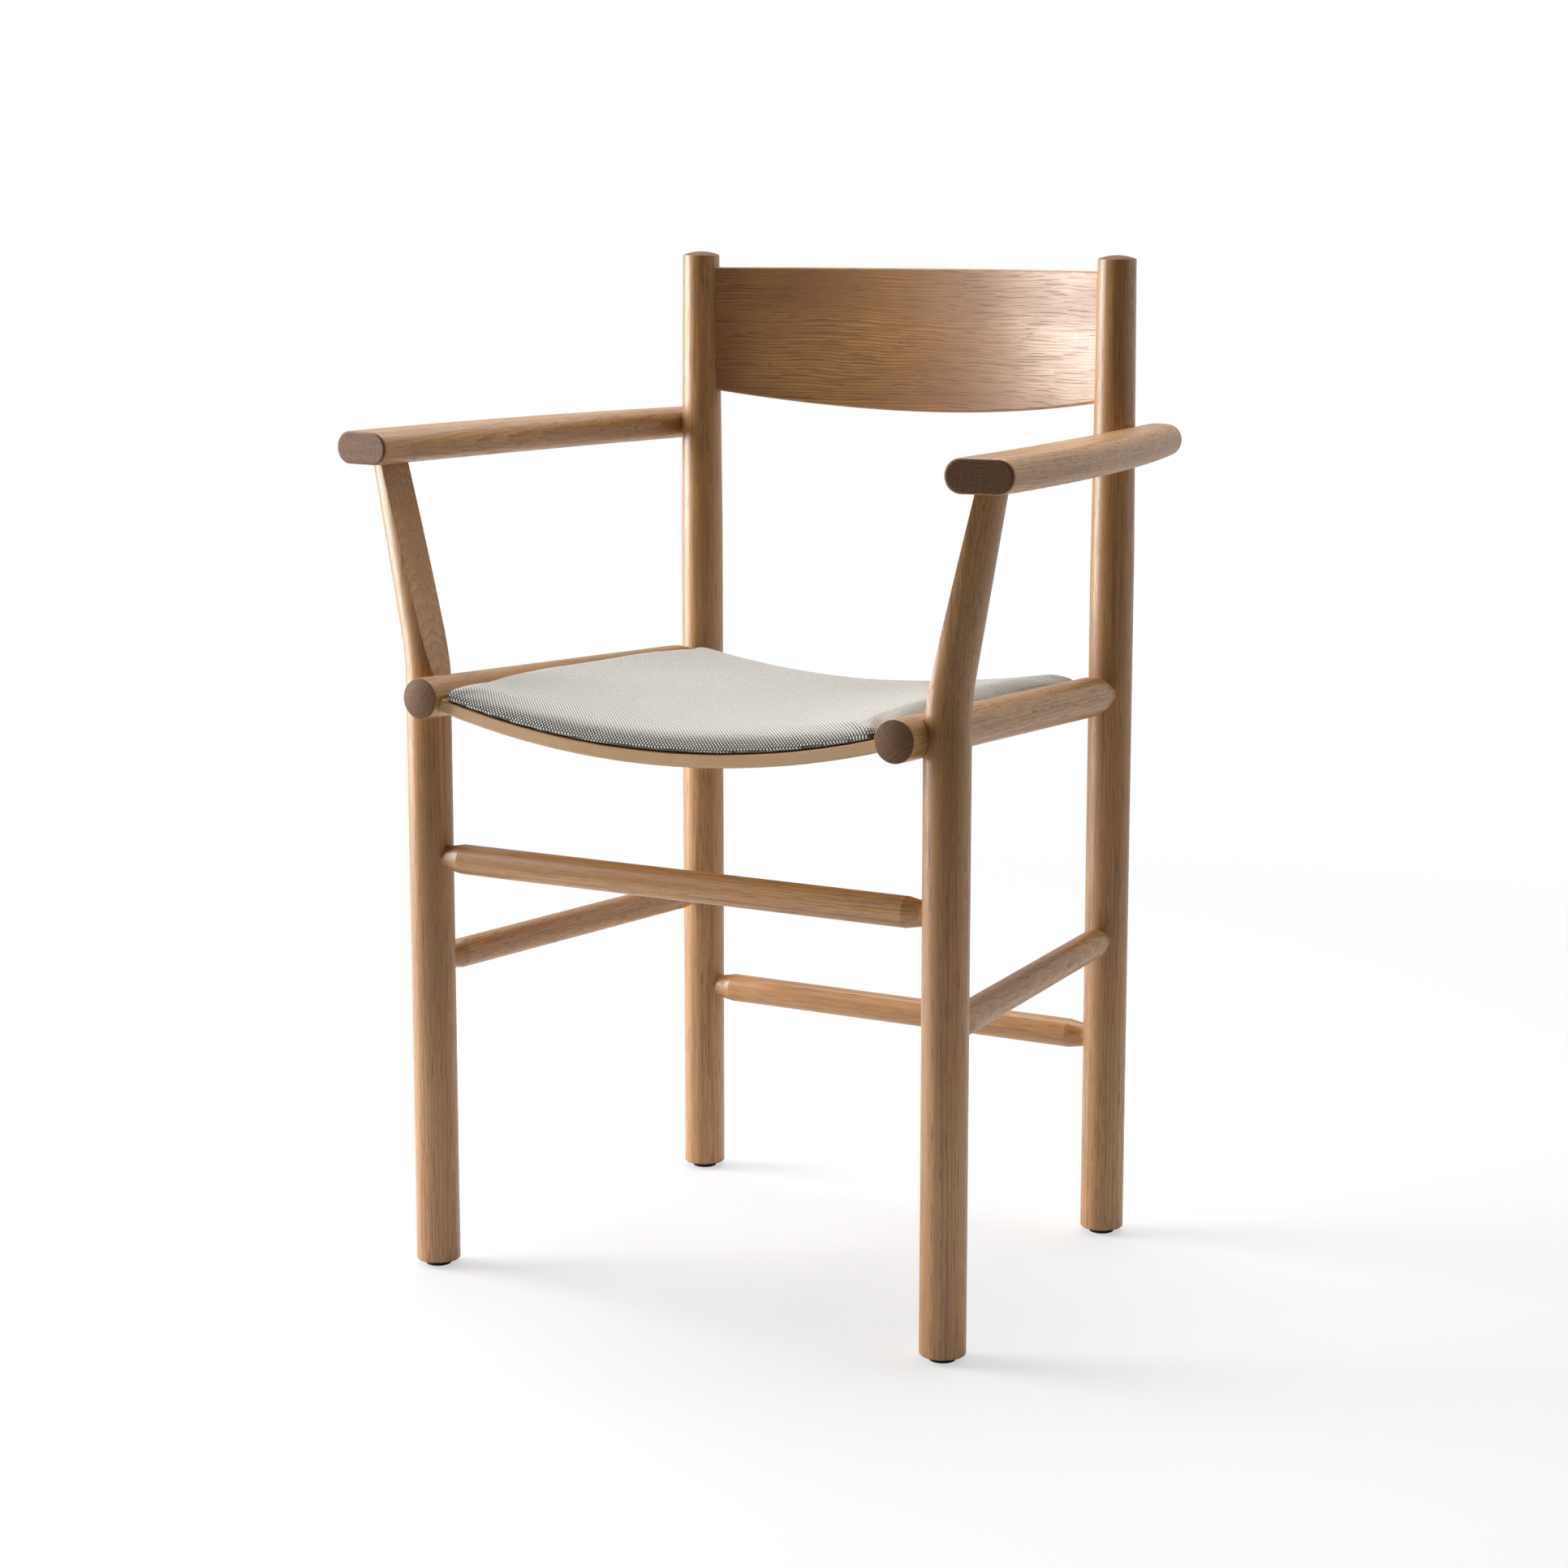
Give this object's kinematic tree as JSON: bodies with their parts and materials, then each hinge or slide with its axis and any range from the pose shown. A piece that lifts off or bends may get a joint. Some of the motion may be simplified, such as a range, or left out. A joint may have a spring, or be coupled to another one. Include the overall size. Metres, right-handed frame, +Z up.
{
  "type": "armchair",
  "caption": "Oak armchair with round legs and stretchers, bent plywood seat with a thin woven pad, bent backrest and flat round-sided arms.",
  "frame": {"origin": "on the floor, under the middle of the chair's bounding box", "axes": "+Z up, the sitter faces -Y, +X is at the sitter's left hand and at the right of someone who looks at the front"},
  "size_m": [0.587, 0.439, 0.8],
  "materials": {
    "oak": "oiled light oak, solid",
    "oak_plywood": "oiled oak veneer on bent plywood",
    "pad_plywood": "raw birch plywood",
    "beech": "raw beech dowel",
    "woven_cover": "two-tone basket weave, pale grey",
    "foam": "open-cell foam",
    "steel": "zinc plated",
    "glide_plastic": "grey plastic",
    "felt": "dark felt"
  },
  "bodies": {
    "root": {"front_leg_left": "oak", "front_leg_right": "oak", "rear_post_left": "oak", "rear_post_right": "oak", "seat_rail_left": "oak", "seat_rail_right": "oak", "armrest_left": "oak", "armrest_right": "oak", "front_stretcher": "oak", "rear_stretcher": "oak", "side_stretcher_left": "oak", "side_stretcher_right": "oak", "seat_shell": "oak_plywood", "backrest_panel": "oak_plywood", "pad_board": "pad_plywood", "pad_foam": "foam", "pad_cover": "woven_cover", "pad_staples": "steel", "pad_screws": "steel", "pad_tee_nuts": "steel", "rail_lap_dowels": "beech", "arm_front_dowels": "beech", "arm_rear_dowels": "beech", "glide_bases": "glide_plastic", "glide_felts": "felt", "glide_nails": "steel"}
  },
  "joints": []
}
